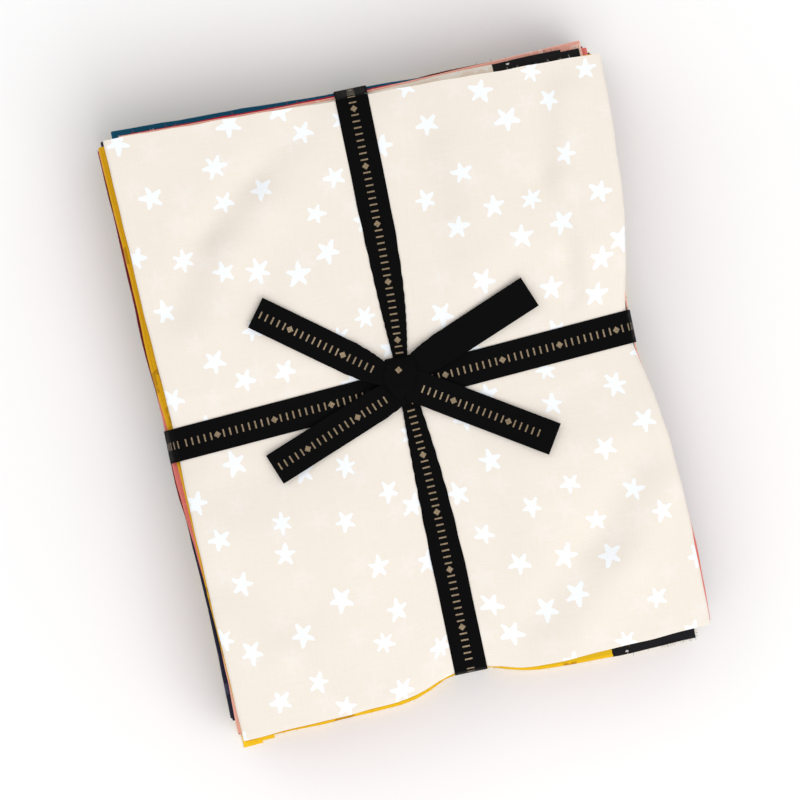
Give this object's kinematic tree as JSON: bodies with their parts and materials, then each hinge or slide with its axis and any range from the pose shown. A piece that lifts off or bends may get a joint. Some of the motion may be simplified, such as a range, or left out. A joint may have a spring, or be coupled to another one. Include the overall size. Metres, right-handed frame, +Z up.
{
  "type": "fat quarter bundle",
  "caption": "Bundle of folded quilting cotton cuts in mixed colours, stacked and tied crosswise with a narrow black ribbon in a flat bow of loose ends.",
  "frame": {"origin": "On the underside of the long ribbon band, below the crossing of the two bands; the surface that the bundle rests on is z = 0.", "axes": "+Y along the long side of the stack, +X across it to the right as seen from above, +Z up through the stack and the knot."},
  "size_m": [0.1964, 0.2393, 0.0514],
  "materials": {
    "cloth_cream": "plain woven cotton, cream with white stars",
    "cloth_mustard": "plain woven cotton, golden yellow with darker stars",
    "cloth_ivory": "plain woven cotton, ivory with a black selvedge",
    "cloth_peach": "plain woven cotton, peach pink",
    "cloth_coral": "plain woven cotton, coral",
    "cloth_cherry": "plain woven cotton, cherry red",
    "cloth_teal": "plain woven cotton, dark teal",
    "cloth_maroon": "plain woven cotton, maroon",
    "cloth_midnight": "plain woven cotton, midnight blue",
    "cloth_sunshine": "plain woven cotton, bright yellow with a black selvedge",
    "ribbon": "woven ribbon, black, soft satin"
  },
  "bodies": {
    "root": {"cloth_cream": "cloth_cream", "cloth_mustard": "cloth_mustard", "cloth_ivory": "cloth_ivory", "cloth_peach": "cloth_peach", "cloth_coral": "cloth_coral", "cloth_cherry": "cloth_cherry", "cloth_teal": "cloth_teal", "cloth_maroon": "cloth_maroon", "cloth_midnight": "cloth_midnight", "cloth_sunshine": "cloth_sunshine", "ribbon_cross_band": "ribbon", "ribbon_long_band": "ribbon", "ribbon_knot": "ribbon", "tail_upper_left": "ribbon", "tail_upper_right": "ribbon", "tail_lower_right": "ribbon", "tail_lower_left": "ribbon"}
  },
  "joints": []
}
